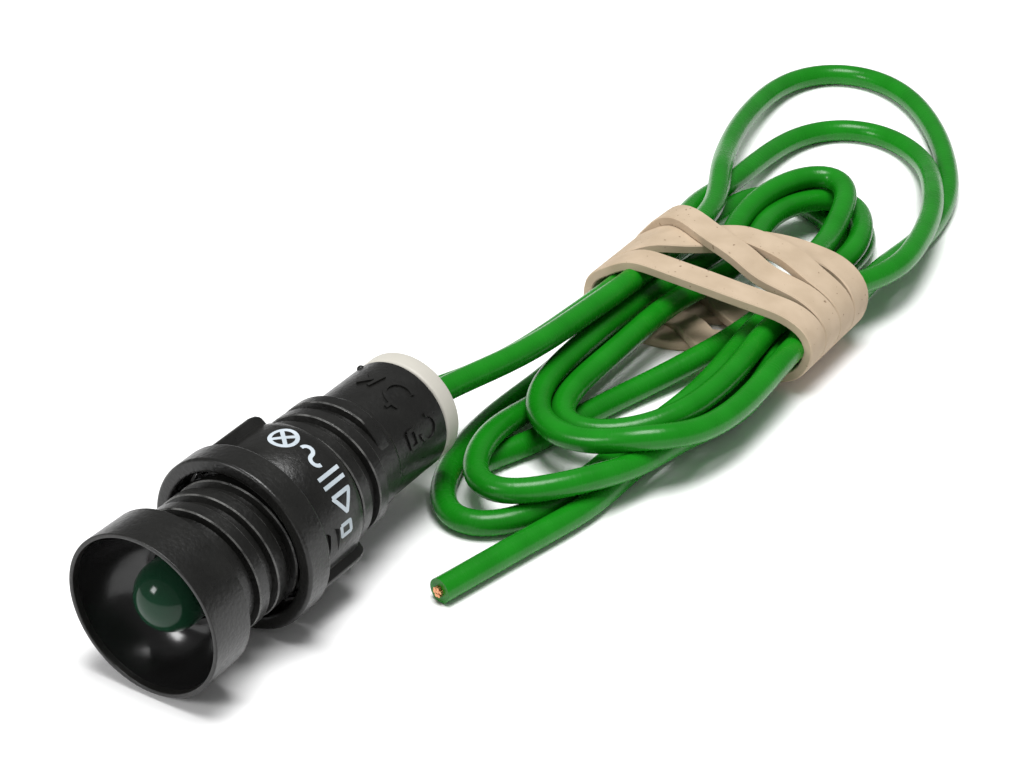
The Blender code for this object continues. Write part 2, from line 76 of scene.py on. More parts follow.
def at(radius, angle, station):
    """A point in metres: radius and station in millimetres, angle from +Z towards +X."""
    return Vector((radius * math.sin(angle), RIM_Y + station, AXIS_Z + radius * math.cos(angle))) * MM


print("axis height", round(AXIS_Z, 2), "mm, rim at", round(RIM_Y, 2), "mm")

# %% [markdown]
# ## The camera
#
# A product picture of a long thin object looks best from above one front corner. A long lens keeps
# the lamp and the wires in proportion. The camera is turned by its elevation and azimuth, so that its
# viewing line is easy to read back.

# %% Camera
CAMERA_PLACE = (92.35, -115.5, 106.7)
AZIMUTH = math.radians(32.6)
ELEVATION = math.radians(31.6)
LENS = 91.4

bpy.ops.object.camera_add(
    location=Vector(CAMERA_PLACE) * MM, rotation=(math.pi / 2 - ELEVATION, 0.0, AZIMUTH),
)
camera = bpy.context.object
camera.name = "camera"
camera.data.lens = LENS
camera.data.clip_start = 0.005
bpy.context.scene.camera = camera
print("camera looks down", round(math.degrees(ELEVATION), 1), "degrees")

# %% [markdown]
# ## Floor and light
#
# The floor is plain and pale. The light is that of a light tent: a soft even sky, one large soft
# lamp overhead for the long highlights on the wires and the crests of the thread, and a smaller one
# at the front left, which the bezel's glossy funnel reflects. The colours are kept as they are with
# the Standard view, because a filmic view would turn the white floor grey.


# %% Floor and lamps
def plain_material(name, colour, roughness):
    mat = bpy.data.materials.new(name)
    mat.use_nodes = True
    shader = mat.node_tree.nodes["Principled BSDF"]
    shader.inputs["Base Color"].default_value = (*colour, 1.0)
    shader.inputs["Roughness"].default_value = roughness
    return mat


def soft_lamp(name, place, aim, size, watts):
    """A square area lamp at a place in millimetres, turned to face another place."""
    bpy.ops.object.light_add(type="AREA", location=Vector(place) * MM)
    lamp = bpy.context.object
    lamp.name = name
    lamp.data.size = size * MM
    lamp.data.energy = watts
    lamp.rotation_euler = (Vector(aim) - Vector(place)).to_track_quat("-Z", "Y").to_euler()


FLOOR_SIZE = 4.0
bpy.ops.object.select_all(action="DESELECT")
bpy.ops.mesh.primitive_plane_add(size=FLOOR_SIZE, location=(0.0, 0.0, 0.0))
floor = bpy.context.object
floor.name = "floor"
floor.data.materials.append(plain_material("pale_floor", (1.0, 1.0, 1.0), 0.9))

world = bpy.data.worlds.new("light_tent")
bpy.context.scene.world = world
world.use_nodes = True
world.node_tree.nodes["Background"].inputs["Color"].default_value = (1.0, 1.0, 1.0, 1.0)
world.node_tree.nodes["Background"].inputs["Strength"].default_value = 0.24
bpy.context.scene.view_settings.view_transform = "Standard"

soft_lamp("overhead", (30.0, 0.0, 400.0), (5.0, 30.0, 0.0), 200.0, 1.9)
soft_lamp("front_left", (-160.0, -330.0, 230.0), (0.0, -10.0, 5.0), 110.0, 0.7)
print("two lamps and a sky")

# %% [markdown]
# ## Materials from nodes
#
# A moulded or extruded surface is never one flat colour. Each material below starts from the
# Principled shader, then takes a slow colour change, a roughness change and a fine bump from noise.
# Most read Object coordinates in metres, so a pattern has the same size on every piece. The wires'
# insulation reads its UV map instead, so that its pattern follows the bends. The helper keeps each
# finish down to a few readable numbers.


# %% Finish helper
NOISE_DETAIL = 4.0
CLOUD_SHARE = 0.12


def finish(name, dark, light, grain, roughness, bump, metallic=0.0, along=None):
    """A noise-driven finish. grain and bump are in mm, roughness is (low, high).

    With along, the noise follows the piece's UV map, where U is the distance along it in metres, and
    along is the stretch across it."""
    mat = bpy.data.materials.new(name)
    mat.use_nodes = True
    nodes, links = mat.node_tree.nodes, mat.node_tree.links
    shader = nodes["Principled BSDF"]
    shader.inputs["Metallic"].default_value = metallic
    place = nodes.new("ShaderNodeTexCoord")
    turn = nodes.new("ShaderNodeMapping")
    if along:
        turn.inputs["Scale"].default_value = (1.0, along * MM, 1.0)
    links.new(place.outputs["UV" if along else "Object"], turn.inputs["Vector"])
    noise = nodes.new("ShaderNodeTexNoise")
    noise.inputs["Scale"].default_value = 1.0 / (grain * MM)
    noise.inputs["Detail"].default_value = NOISE_DETAIL
    links.new(turn.outputs["Vector"], noise.inputs["Vector"])
    cloud = nodes.new("ShaderNodeTexNoise")
    cloud.inputs["Scale"].default_value = CLOUD_SHARE / (grain * MM)
    links.new(turn.outputs["Vector"], cloud.inputs["Vector"])
    colours = nodes.new("ShaderNodeValToRGB")
    colours.color_ramp.elements[0].position = 0.3
    colours.color_ramp.elements[0].color = (*dark, 1.0)
    colours.color_ramp.elements[1].position = 0.7
    colours.color_ramp.elements[1].color = (*light, 1.0)
    links.new(cloud.outputs["Fac"], colours.inputs["Fac"])
    links.new(colours.outputs["Color"], shader.inputs["Base Color"])
    gloss = nodes.new("ShaderNodeMapRange")
    gloss.inputs["To Min"].default_value = roughness[0]
    gloss.inputs["To Max"].default_value = roughness[1]
    links.new(noise.outputs["Fac"], gloss.inputs["Value"])
    links.new(gloss.outputs["Result"], shader.inputs["Roughness"])
    relief = nodes.new("ShaderNodeBump")
    relief.inputs["Strength"].default_value = 1.0
    relief.inputs["Distance"].default_value = bump * MM
    links.new(noise.outputs["Fac"], relief.inputs["Height"])
    links.new(relief.outputs["Normal"], shader.inputs["Normal"])
    return mat


black_plastic = finish(
    "black_plastic", (0.006, 0.006, 0.0055), (0.011, 0.011, 0.010), 0.3, (0.2, 0.44), 0.03)
# A paler black for the narrow faces on the thread's crest edges: a painted highlight, not wear.
worn_black = finish(
    "worn_black", (0.012, 0.012, 0.011), (0.13, 0.13, 0.125), 0.12, (0.15, 0.4), 0.03)
funnel_black = finish(
    "funnel_black", (0.006, 0.006, 0.006), (0.008, 0.008, 0.008), 0.8, (0.14, 0.24), 0.004)
white_plastic = finish(
    "white_plastic", (0.47, 0.45, 0.40), (0.54, 0.52, 0.46), 0.5, (0.42, 0.6), 0.01)
green_pvc = finish(
    "green_pvc", (0.005, 0.168, 0.005), (0.008, 0.208, 0.008), 0.4, (0.19, 0.34), 0.018, along=1.6)
cream_rubber = finish(
    "cream_rubber", (0.44, 0.34, 0.235), (0.51, 0.40, 0.285), 0.25, (0.7, 0.95), 0.015)
tinned_steel = finish(
    "tinned_steel", (0.50, 0.50, 0.49), (0.64, 0.64, 0.62), 0.3, (0.2, 0.4), 0.004, metallic=1.0)
solder_tin = finish(
    "solder_tin", (0.52, 0.52, 0.50), (0.68, 0.68, 0.66), 0.4, (0.25, 0.5), 0.02, metallic=1.0)
copper = finish(
    "copper", (0.62, 0.24, 0.11), (0.80, 0.38, 0.20), 0.2, (0.22, 0.4), 0.004, metallic=1.0)
chip_face = finish(
    "chip_face", (0.40, 0.36, 0.08), (0.55, 0.50, 0.12), 0.05, (0.2, 0.4), 0.002)
potting_resin = finish(
    "potting_resin", (0.010, 0.010, 0.010), (0.018, 0.018, 0.018), 0.6, (0.15, 0.35), 0.03)
resistor_coat = finish(
    "resistor_coat", (0.18, 0.34, 0.46), (0.24, 0.41, 0.53), 0.3, (0.3, 0.45), 0.01)
diode_moulding = finish(
    "diode_moulding", (0.010, 0.010, 0.011), (0.016, 0.016, 0.017), 0.2, (0.4, 0.6), 0.01)
shrink_sleeve = finish(
    "shrink_sleeve", (0.45, 0.45, 0.41), (0.55, 0.55, 0.50), 0.4, (0.35, 0.55), 0.01)
print_ink = finish(
    "print_ink", (0.38, 0.44, 0.48), (0.55, 0.61, 0.66), 0.25, (0.4, 0.6), 0.01)
green_epoxy = finish(
    "green_epoxy", (0.009, 0.046, 0.022), (0.012, 0.058, 0.028), 1.2, (0.1, 0.16), 0.002)
epoxy_shader = green_epoxy.node_tree.nodes["Principled BSDF"]
epoxy_shader.inputs["Transmission Weight"].default_value = 0.3
epoxy_shader.inputs["IOR"].default_value = 1.52
for mat, level in ((green_pvc, 0.28), (black_plastic, 0.4), (green_epoxy, 0.12)):
    mat.node_tree.nodes["Principled BSDF"].inputs["Specular IOR Level"].default_value = level
print("finishes made")

# %% [markdown]
# The cut rubber has small dark specks. They show where a fine noise is at its highest.

# %% Specks in the rubber
SPECK_GRAIN, SPECK_START, SPECK_FULL = 0.35, 0.73, 0.78
SPECK_COLOUR = (0.20, 0.13, 0.08, 1.0)
nodes, links = cream_rubber.node_tree.nodes, cream_rubber.node_tree.links
rubber_shader = nodes["Principled BSDF"]
specks = nodes.new("ShaderNodeTexNoise")
specks.inputs["Scale"].default_value = 1.0 / (SPECK_GRAIN * MM)
specks.inputs["Detail"].default_value = 1.0
links.new(nodes["Texture Coordinate"].outputs["Object"], specks.inputs["Vector"])
speck_edge = nodes.new("ShaderNodeMapRange")
speck_edge.inputs["From Min"].default_value = SPECK_START
speck_edge.inputs["From Max"].default_value = SPECK_FULL
links.new(specks.outputs["Fac"], speck_edge.inputs["Value"])
speck_mix = nodes.new("ShaderNodeMix")
speck_mix.data_type = "RGBA"
links.new(speck_edge.outputs["Result"], speck_mix.inputs["Factor"])
links.new(rubber_shader.inputs["Base Color"].links[0].from_socket, speck_mix.inputs["A"])
speck_mix.inputs["B"].default_value = SPECK_COLOUR
links.new(speck_mix.outputs["Result"], rubber_shader.inputs["Base Color"])
print("rubber specked")

# %% [markdown]
# ## The wires
#
# Each lead is one flexible wire of fixed length. It leaves the cap, runs under the band, folds back
# at the far end, and so on, until it ends in a cut. The routes below are lists of places that the
# wire's middle passes, given in millimetres, fold by fold.
#
# Listed points can't keep so many crossing runs exactly a wire's thickness apart. So the last step
# lets the wire settle, like a rope: wherever two stretches overlap they push each other away, the
# floor holds them up, and the wire's own stiffness smooths the kinks.

# %% Wire sizes
WIRE_D = 1.9
WIRE_R = WIRE_D / 2
PAIR_ANGLE = math.radians(28)
WIRE_OFFSET = 1.08
INSULATION_START = 24.3
CAP_END = station_of(cap_high.y)


def wire_exit(side, station):
    """Where one of the two wires is inside the lamp, or at the back of its cap, in millimetres."""
    reach = side * WIRE_OFFSET
    return (reach * math.cos(PAIR_ANGLE), RIM_Y + station, AXIS_Z + reach * math.sin(PAIR_ANGLE))


def inside_start(side):
    middle = (INSULATION_START + CAP_END) / 2
    return [wire_exit(side, station) for station in (INSULATION_START, middle, CAP_END)]


# %% Route of the first wire
wire_a_route = inside_start(1) + [
    # from the cap to the band
    (1.3, 17.8, 7.0), (1.9, 20.9, 6.8), (2.7, 24.7, 6.6), (3.2, 28.8, 6.4), (3.4, 33.9, 6.2),
    (3.7, 38.9, 6.1), (3.8, 42.0, 6.1), (3.7, 46.0, 6.1),
    # the largest far fold
    (2.0, 56.6, 4.6), (0.3, 61.2, 4.2), (-2.6, 67.5, 3.4), (-5.0, 73.9, 2.6), (-6.7, 80.2, 1.9),
    (-7.5, 86.1, 1.4), (-7.2, 90.1, 1.1), (-6.1, 92.8, 1.0), (-4.3, 94.2, 1.0), (-2.1, 94.8, 1.0),
    (0.1, 94.5, 1.0), (2.7, 93.3, 1.0), (5.2, 91.4, 1.0), (7.7, 88.7, 1.0), (10.0, 85.8, 1.0),
    (12.2, 82.2, 1.0), (14.3, 78.1, 1.0), (15.6, 73.8, 1.0), (16.4, 69.4, 1.2), (16.9, 65.2, 1.6),
    (16.9, 61.0, 2.2),
    # the upper near fold
    (17.9, 41.9, 4.0), (18.0, 38.5, 4.0), (18.3, 34.7, 3.9), (18.2, 30.8, 3.9), (17.7, 27.4, 4.1),
    (16.7, 24.4, 4.4), (14.7, 22.6, 4.2), (12.2, 22.2, 3.6), (10.1, 21.6, 3.6), (7.8, 21.9, 3.6),
    (6.0, 23.1, 3.6), (4.7, 25.3, 3.7), (4.0, 28.5, 3.8), (3.8, 32.3, 3.9), (3.9, 37.0, 4.0),
    (4.0, 41.9, 4.0),
    # the top far fold
    (5.4, 46.5, 4.6), (6.2, 50.5, 4.8), (5.6, 54.0, 4.8), (4.7, 57.3, 4.8), (5.0, 60.0, 4.9),
    (5.3, 62.7, 5.0), (5.8, 64.9, 5.0), (6.7, 66.6, 5.0), (8.1, 67.4, 5.0), (9.6, 66.8, 5.0),
    (10.6, 64.9, 4.9), (11.4, 62.1, 4.8), (12.1, 59.4, 4.7), (12.8, 57.1, 4.6),
    # the lower near fold
    (17.1, 36.0, 2.0), (16.5, 32.0, 2.0), (16.0, 28.4, 2.4), (15.5, 25.2, 2.9), (14.9, 22.1, 3.1),
    (13.7, 19.4, 3.1), (12.6, 17.4, 3.0), (11.3, 16.0, 2.9), (9.8, 14.4, 2.8), (8.4, 13.5, 2.8),
    (6.8, 13.8, 2.8), (5.3, 15.6, 2.9), (4.3, 18.3, 2.9), (3.8, 21.7, 2.5), (3.6, 25.8, 2.1),
    (4.1, 30.3, 1.8),
    # the hidden far fold, and the free end
    (4.4, 60.0, 2.6), (4.7, 63.0, 2.6), (5.7, 65.4, 2.7), (7.1, 67.3, 2.4), (8.5, 68.9, 1.6),
    (10.1, 68.3, 1.0), (12.0, 65.2, 1.2), (13.6, 61.5, 1.7), (14.9, 34.6, 1.6), (14.0, 30.2, 1.1),
    (13.5, 26.3, 1.0), (13.3, 20.6, 1.0), (13.2, 17.5, 1.0), (12.7, 14.8, 1.0), (12.0, 11.5, 1.0),
    (11.1, 7.5, 1.0), (10.2, 3.7, 1.0),
]

# %% [markdown]
# The second wire leaves the cap below the first, and its folds lie between and under those of the
# first. Its cut end is tucked under a fold.

# %% Route of the second wire
wire_b_route = inside_start(-1) + [
    # from the cap to the band
    (-0.5, 18.0, 5.9), (0.35, 21.0, 5.6), (1.15, 24.8, 5.35), (1.6, 29.0, 5.1), (1.85, 34.0, 4.95),
    (2.1, 39.0, 4.9), (2.2, 42.0, 4.9), (2.0, 46.0, 4.9),
    # the second far fold
    (-1.0, 59.8, 2.7), (-1.0, 63.3, 2.4), (-1.2, 66.8, 2.1), (-1.5, 70.4, 1.8), (-1.6, 75.1, 1.4),
    (-1.4, 79.0, 1.1), (-0.1, 82.0, 1.0), (1.8, 83.7, 1.0), (4.2, 84.3, 1.0), (6.4, 83.8, 1.0),
    (8.4, 82.8, 1.0), (10.7, 80.6, 1.3), (13.1, 77.1, 1.9), (15.4, 72.4, 2.6), (17.0, 68.1, 3.1),
    (18.1, 63.9, 3.5), (18.7, 59.9, 3.8), (18.9, 56.6, 4.0),
    # the inner near fold
    (15.2, 43.0, 4.0), (15.4, 39.1, 3.9), (15.4, 36.0, 3.7), (15.2, 32.8, 3.5), (14.9, 29.7, 3.5),
    (13.8, 27.1, 3.3), (11.8, 25.3, 3.0), (9.7, 23.9, 2.9), (7.7, 23.8, 2.9), (6.4, 25.7, 3.0),
    (6.0, 28.8, 3.2), (6.1, 32.8, 3.5), (6.3, 37.3, 3.8), (6.4, 41.9, 4.0),
    # the small far fold
    (7.6, 46.0, 4.4), (8.4, 49.5, 4.6), (7.9, 53.5, 4.5), (6.4, 57.8, 4.2), (6.5, 61.7, 3.8),
    (6.9, 65.2, 3.3), (7.9, 67.1, 2.9), (9.4, 67.8, 2.8), (10.9, 67.0, 2.8), (12.0, 64.8, 2.9),
    (12.9, 62.4, 3.2), (14.4, 59.1, 3.6),
    # the outermost near fold
    (13.5, 36.0, 2.0), (13.0, 31.6, 1.6), (12.5, 29.1, 1.2), (12.1, 26.3, 1.0), (11.9, 23.8, 1.0),
    (11.9, 21.0, 1.1), (11.8, 18.4, 1.3), (11.4, 16.4, 1.5), (10.7, 14.9, 1.4), (9.3, 12.9, 1.1),
    (8.1, 11.7, 1.0), (7.1, 11.2, 1.0), (5.6, 11.6, 1.0), (4.0, 13.4, 1.0), (2.6, 16.5, 1.0),
    (1.6, 20.3, 1.0), (1.2, 24.3, 1.0), (1.3, 28.2, 1.1), (1.9, 31.7, 1.5),
    # the lowest far fold, and the hidden cut end
    (-0.1, 61.2, 1.6), (0.0, 64.9, 1.2), (0.9, 67.5, 1.0), (3.0, 68.6, 1.0), (5.2, 68.5, 1.0),
    (7.3, 67.3, 1.0), (9.5, 65.4, 1.1), (11.7, 62.3, 1.5), (11.9, 45.9, 2.0), (11.3, 42.2, 1.9),
    (10.1, 38.2, 1.5), (8.6, 34.3, 1.1), (7.4, 30.4, 1.0), (6.6, 27.4, 1.0), (5.8, 23.8, 1.0),
    (4.9, 20.8, 1.0), (4.0, 19.0, 1.0), (3.3, 18.0, 1.0),
]
print(len(wire_a_route), "and", len(wire_b_route), "places")


# %% [markdown]
# A smooth curve through places is a Catmull-Rom curve: each stretch leaves a place in the direction
# from the place before to the place after. It is then cut into equal steps, because the settling
# works on evenly spaced beads.


# %% Smooth a route and cut it into beads
BEAD = 1.0


def smooth_curve(route, steps=6):
    places = [np.array(place, float) for place in route]
    padded = [2 * places[0] - places[1], *places, 2 * places[-1] - places[-2]]
    curve = []
    for before, start, end, after in zip(padded, padded[1:], padded[2:], padded[3:]):
        for t in np.arange(steps) / steps:
            curve.append(0.5 * (
                2 * start + (end - before) * t + (2 * before - 5 * start + 4 * end - after) * t**2
                + (3 * start - before - 3 * end + after) * t**3
            ))
    return np.array([*curve, places[-1]])


def evenly(curve, step):
    along = np.r_[0.0, np.cumsum(np.linalg.norm(np.diff(curve, axis=0), axis=1))]
    stops = np.linspace(0.0, along[-1], int(round(along[-1] / step)) + 1)
    return np.stack([np.interp(stops, along, curve[:, axis]) for axis in range(3)], axis=1)


beads = [evenly(smooth_curve(route), BEAD) for route in (wire_a_route, wire_b_route)]
print("beads:", [len(wire) for wire in beads])

# %% [markdown]
# The settling keeps a list of beads that are near each other, and refreshes it every few rounds.
# Beads closer than a wire's thickness move apart by half of the overlap each. A fourth-difference
# term acts as the wire's stiffness. A weak pull holds the wires to the given routes at first, and
# is let go for the last rounds. The beads in the lamp stay put.

# %% Settle the wires
BAND_NEAR, BAND_FAR = 40.0, 52.0
BAND_RAMP = 6.0
STRIP_THICK = 0.8
SETTLE_ROUNDS = 400
REFRESH = 10
HELD_BEADS = 10
NEIGHBOURS = 4
NEARBY = 1.6 * WIRE_D
STIFFNESS = 0.9
HOLD, HELD_SHARE = 0.006, 0.8


def ground(y):
    """How high the wires are held up: by the floor, or by the rubber band that runs under them."""
    past = np.maximum(np.maximum(BAND_NEAR - y, y - BAND_FAR), 0.0)
    return STRIP_THICK * np.clip(1.0 - past / BAND_RAMP, 0.0, 1.0)


def near_pairs(points, wire_of, number_of):
    distance = ((points[:, None] - points[None]) ** 2).sum(-1)
    first, second = np.where(np.triu(distance < NEARBY ** 2, 1))
    apart = (wire_of[first] != wire_of[second]) | (number_of[second] - number_of[first] > NEIGHBOURS)
    return first[apart], second[apart]


def pushed_apart(points, first, second):
    gap = points[first] - points[second]
    distance = np.linalg.norm(gap, axis=1)[:, None]
    push = np.maximum(WIRE_D - distance, 0.0) / np.maximum(distance, 1e-6) * gap / 2
    move, touching = np.zeros_like(points), np.zeros(len(points))
    for ends, sign in ((first, 1.0), (second, -1.0)):
        np.add.at(move, ends, sign * push)
        np.add.at(touching, ends, distance[:, 0] < WIRE_D)
    return move / np.maximum(touching, 1.0)[:, None]


def straightened(points, counts):
    move, start = np.zeros_like(points), 0
    for count in counts:
        w = points[start:start + count]
        fourth = w[:-4] - 4 * w[1:-3] + 6 * w[2:-2] - 4 * w[3:-1] + w[4:]
        move[start + 2:start + count - 2] = -fourth / 16
        start += count
    return move


def settle(wires):
    counts = [len(wire) for wire in wires]
    points, route = np.vstack(wires), np.vstack(wires)
    wire_of = np.repeat(range(len(wires)), counts)
    number_of = np.concatenate([np.arange(count) for count in counts])
    free = (number_of >= HELD_BEADS).astype(float)[:, None]
    for turn in range(SETTLE_ROUNDS):
        if turn % REFRESH == 0:
            first, second = near_pairs(points, wire_of, number_of)
        points = points + free * pushed_apart(points, first, second)
        hold = HOLD if turn < HELD_SHARE * SETTLE_ROUNDS else 0.0
        points = points + free * (STIFFNESS * straightened(points, counts) + hold * (route - points))
        points[:, 2] = np.maximum(points[:, 2], WIRE_R + ground(points[:, 1]))
    return np.split(points, np.cumsum(counts)[:-1])


wire_a_line, wire_b_line = settle(beads)
for line in (wire_a_line, wire_b_line):
    print("wire length", round(float(np.linalg.norm(np.diff(line, axis=0), axis=1).sum()), 1), "mm")

# %% [markdown]
# A wire and a rubber strip are both a section swept along a line, so one sweep makes both. It lays a
# copy of the section at each place of the line, joins neighbours with faces, and writes a UV map in
# which U runs along the line in metres. That map lets a noise follow the wire round every fold: the
# insulation of real wire has faint rings across it, from the extruder, and they break up its long
# highlight.


# %% Sweep a section along a line
ROUND_ANGLE = math.radians(40)


def pick(piece):
    """Makes a piece the only selected one, and the active one."""
    bpy.ops.object.select_all(action="DESELECT")
    piece.select_set(True)
    bpy.context.view_layer.objects.active = piece


def mesh_piece(name, verts, faces, mat, body):
    mesh = bpy.data.meshes.new(name)
    mesh.from_pydata((np.asarray(verts) * MM).tolist(), [], faces)
    mesh.materials.append(mat)
    piece = bpy.data.objects.new(name, mesh)
    bpy.context.scene.collection.objects.link(piece)
    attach(piece, body)
    return piece


def unit(vectors):
    return vectors / np.linalg.norm(vectors, axis=-1, keepdims=True)


def carried_along(line, first_up):
    """An outward direction for each place, carried along the line without twisting."""
    tangents = unit(np.gradient(line, axis=0))
    ups, up = [], np.array(first_up, float)
    for tangent in tangents:
        up = unit(up - up.dot(tangent) * tangent)
        ups.append(up)
    return np.array(ups)


def sweep(name, line, ups, section, mat, closed=False):
    count, around = len(line), len(section)
    if closed:
        tangents = unit(np.roll(line, -1, axis=0) - np.roll(line, 1, axis=0))
    else:
        tangents = unit(np.gradient(line, axis=0))
    sides = unit(np.cross(tangents, ups))
    ups = np.cross(sides, tangents)
    verts = line[:, None] + sides[:, None] * section[None, :, :1] + ups[:, None] * section[None, :, 1:]
    verts = verts.reshape(-1, 3)
    faces, spots = [], []
    along = np.r_[0.0, np.cumsum(np.linalg.norm(np.diff(line, axis=0), axis=1))] * MM
    along = np.append(along, along[-1] + np.linalg.norm(line[0] - line[-1]) * MM)
    for ring in range(count if closed else count - 1):
        following = (ring + 1) % count
        for side in range(around):
            other = (side + 1) % around
            faces.append((
                ring * around + side, following * around + side,
                following * around + other, ring * around + other,
            ))
            spots += [
                (along[ring], side / around), (along[ring + 1], side / around),
                (along[ring + 1], (side + 1) / around), (along[ring], (side + 1) / around),
            ]
    if not closed:
        for ring, order in ((0, 1), (count - 1, -1)):
            faces.append(tuple(ring * around + side for side in range(around))[::order])
            spots += [(along[ring], 0.5)] * around
    piece = mesh_piece(name, verts, faces, mat, "lamp")
    layer = piece.data.uv_layers.new(name="along")
    layer.data.foreach_set("uv", np.array(spots, float).ravel())
    pick(piece)
    bpy.ops.object.mode_set(mode="EDIT")
    bpy.ops.mesh.select_all(action="SELECT")
    bpy.ops.mesh.normals_make_consistent(inside=False)
    bpy.ops.object.mode_set(mode="OBJECT")
    bpy.ops.object.shade_smooth_by_angle(angle=ROUND_ANGLE)
    return piece


def round_section(radius, count):
    turn = np.arange(count) * math.tau / count
    return np.stack([radius * np.cos(turn), radius * np.sin(turn)], axis=1)


# %% [markdown]
# The settled beads are joined by a finer smooth curve, so that the folds look round close up, and the
# round section of the insulation is swept along it.

# %% Make the two wires
FINE_STEP = 0.5
WIRE_SIDES = 24
wires = []
for name, line, side, replaced in (
    ("wire_a", wire_a_line, 1, ("lead_a", "free_end_a", "wire_hank")),
    ("wire_b", wire_b_line, -1, ("lead_b", "wire_hank")),
):
    fine = evenly(smooth_curve(line, steps=4), FINE_STEP)
    ups = carried_along(fine, (0.0, 0.0, 1.0))
    wire = sweep(name, fine, ups, round_section(WIRE_R, WIRE_SIDES), green_pvc)
    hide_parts(*replaced)
    wires.append((wire, fine, side))
    print(name, len(wire.data.polygons), "faces")

# %% [markdown]
# At each cut end the conductor shows: seven fine strands of copper, one in the middle of six. They
# are cylinders, each turned to the wire's end direction, and they start a little inside the
# insulation.

# %% Copper strands at the cut ends
STRAND_R = 0.14
STRAND_IN, STRAND_OUT = 0.6, 0.22
STRAND_SPREAD = 2.02 * STRAND_R
STRAND_COUNT, STRAND_SIDES, STRAND_UNEVEN = 7, 14, 0.06
for wire, fine, side in wires:
    end, direction = fine[-1], unit(fine[-1] - fine[-3])
    turn = Vector((0.0, 0.0, 1.0)).rotation_difference(Vector(direction)).to_matrix().to_4x4()
    middle = Vector(end + direction * (STRAND_OUT - STRAND_IN) / 2)
    strands = []
    for number in range(STRAND_COUNT):
        reach = 0.0 if number == 0 else STRAND_SPREAD
        round_by = number * math.tau / 6
        bpy.ops.object.select_all(action="DESELECT")
        bpy.ops.mesh.primitive_cylinder_add(
            vertices=STRAND_SIDES, radius=STRAND_R,
            depth=STRAND_IN + STRAND_OUT + STRAND_UNEVEN * (number % 3),
            location=(reach * math.cos(round_by), reach * math.sin(round_by), 0.0),
        )
        strands.append(bpy.context.object)
    for strand in strands:
        strand.select_set(True)
    bpy.ops.object.join()
    bundle = bpy.context.object
    bpy.ops.object.transform_apply(location=True, rotation=True, scale=True)
    bundle.name = bundle.data.name = "strands_" + wire.name[-1]
    bundle.data.transform(Matrix.Scale(MM, 4) @ Matrix.Translation(middle) @ turn)
    bundle.data.materials.append(copper)
    bpy.ops.object.shade_smooth_by_angle(angle=ROUND_ANGLE)
    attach(bundle, "lamp")
    if side == 1:
        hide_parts("copper_end")
print("strands at both ends")

# %% [markdown]
# ## The rubber band
#
# The band is one flat loop of cut rubber, wound four times round the hank. Stretched rubber takes the
# shortest way round the wires, and that is the outline of a tight string round circles. The outline
# is found by asking, for each direction, which wire reaches farthest that way, and standing off from
# its middle by the wire's radius and half of the strip.
#
# Four rounds of that outline make the winding. Tables give how far back each round lies as it goes
# over the top, and where one round crosses over another it is lifted by a strip's thickness. Under
# the hank, the rounds change places in the gap between the two groups of wires.

# %% Outline round the wires
STRIP_WIDE = 2.45
OUTLINE_STEPS = 96
ROUND_STEPS = 90
held = np.vstack([wire_a_line, wire_b_line])
inside_band = (held[:, 1] > BAND_NEAR + 1.0) & (held[:, 1] < BAND_FAR + 1.0)
held = held[inside_band][:, [0, 2]]
outline = []
for turn in np.arange(OUTLINE_STEPS) * math.tau / OUTLINE_STEPS:
    outward = np.array([-math.cos(turn), math.sin(turn)])
    farthest = held[np.argmax(held @ outward)]
    outline.append(farthest + outward * (WIRE_R + STRIP_THICK / 2))
outline = np.array([*outline, outline[0]])
outline_run = np.r_[0.0, np.cumsum(np.linalg.norm(np.diff(outline, axis=0), axis=1))]
rightmost_run = outline_run[np.argmax(outline[:, 0])]
print("one round is", round(float(outline_run[-1]), 1), "mm long")


# %% [markdown]
# Each round takes its places from the outline and its distance back from the tables. A few rounds of
# averaging then take the corners out of the strip, as its own stiffness does.

# %% Wind the strip
def eased(t):
    t = np.clip(t, 0.0, 1.0)
    return t * t * (3 - 2 * t)


def raised(x, start, full, fade, end):
    """A lift of one strip's thickness, eased in from start to full and out from fade to end."""
    return STRIP_THICK * eased((x - start) / (full - start)) * eased((end - x) / (end - fade))


TOP_X = (-1.0, 2.5, 5.0, 7.5, 10.0, 12.5, 15.5, 18.0, 19.5)
